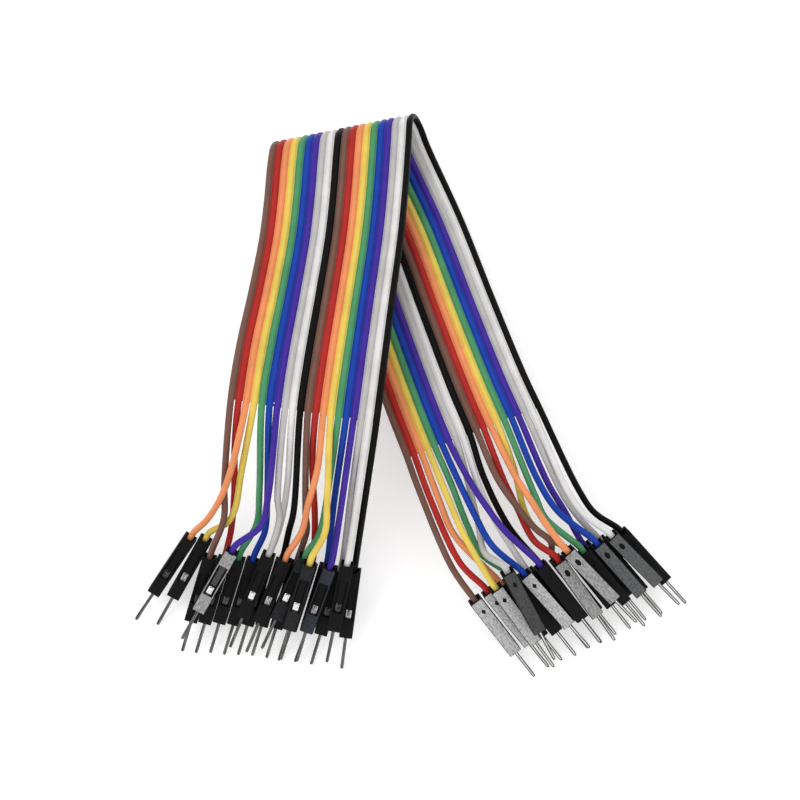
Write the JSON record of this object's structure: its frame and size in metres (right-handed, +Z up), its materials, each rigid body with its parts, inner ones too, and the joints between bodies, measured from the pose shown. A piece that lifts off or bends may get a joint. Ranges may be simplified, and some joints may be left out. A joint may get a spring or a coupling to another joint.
{
  "type": "breadboard jumper wire set",
  "caption": "Flat ribbon of bonded coloured wires folded once, with a one-pin male plug on both ends of each wire.",
  "frame": {"origin": "middle of the base of the box round the forty plugs, on the surface that the set lies on", "axes": "+Z up, +X along the row of plugs from the brown end to the black end, +Y towards the fold of the ribbon"},
  "size_m": [0.1084, 0.114, 0.0327],
  "materials": {
    "brown_wire": "soft satin PVC",
    "red_wire": "soft satin PVC",
    "orange_wire": "soft satin PVC",
    "yellow_wire": "soft satin PVC",
    "green_wire": "soft satin PVC",
    "blue_wire": "soft satin PVC",
    "purple_wire": "soft satin PVC",
    "gray_wire": "soft satin PVC",
    "white_wire": "soft satin PVC",
    "black_wire": "soft satin PVC",
    "plug_plastic": "moulded, lightly scuffed"
  },
  "bodies": {
    "root": {"wire_01_brown": "brown_wire", "wire_02_red": "red_wire", "wire_03_orange": "orange_wire", "wire_04_yellow": "yellow_wire", "wire_05_green": "green_wire", "wire_06_blue": "blue_wire", "wire_07_purple": "purple_wire", "wire_08_gray": "gray_wire", "wire_09_white": "white_wire", "wire_10_black": "black_wire", "wire_11_brown": "brown_wire", "wire_12_red": "red_wire", "wire_13_orange": "orange_wire", "wire_14_yellow": "yellow_wire", "wire_15_green": "green_wire", "wire_16_blue": "blue_wire", "wire_17_purple": "purple_wire", "wire_18_gray": "gray_wire", "wire_19_white": "white_wire", "wire_20_black": "black_wire", "near_plug_01_brown": "plug_plastic", "near_plug_02_red": "plug_plastic", "near_plug_03_orange": "plug_plastic", "near_plug_04_yellow": "plug_plastic", "near_plug_05_green": "plug_plastic", "near_plug_06_blue": "plug_plastic", "near_plug_07_purple": "plug_plastic", "near_plug_08_gray": "plug_plastic", "near_plug_09_white": "plug_plastic", "near_plug_10_black": "plug_plastic", "near_plug_11_brown": "plug_plastic", "near_plug_12_red": "plug_plastic", "near_plug_13_orange": "plug_plastic", "near_plug_14_yellow": "plug_plastic", "near_plug_15_green": "plug_plastic", "near_plug_16_blue": "plug_plastic", "near_plug_17_purple": "plug_plastic", "near_plug_18_gray": "plug_plastic", "near_plug_19_white": "plug_plastic", "near_plug_20_black": "plug_plastic", "far_plug_01_brown": "plug_plastic", "far_plug_02_red": "plug_plastic", "far_plug_03_orange": "plug_plastic", "far_plug_04_yellow": "plug_plastic", "far_plug_05_green": "plug_plastic", "far_plug_06_blue": "plug_plastic", "far_plug_07_purple": "plug_plastic", "far_plug_08_gray": "plug_plastic", "far_plug_09_white": "plug_plastic", "far_plug_10_black": "plug_plastic", "far_plug_11_brown": "plug_plastic", "far_plug_12_red": "plug_plastic", "far_plug_13_orange": "plug_plastic", "far_plug_14_yellow": "plug_plastic", "far_plug_15_green": "plug_plastic", "far_plug_16_blue": "plug_plastic", "far_plug_17_purple": "plug_plastic", "far_plug_18_gray": "plug_plastic", "far_plug_19_white": "plug_plastic", "far_plug_20_black": "plug_plastic"}
  },
  "joints": []
}
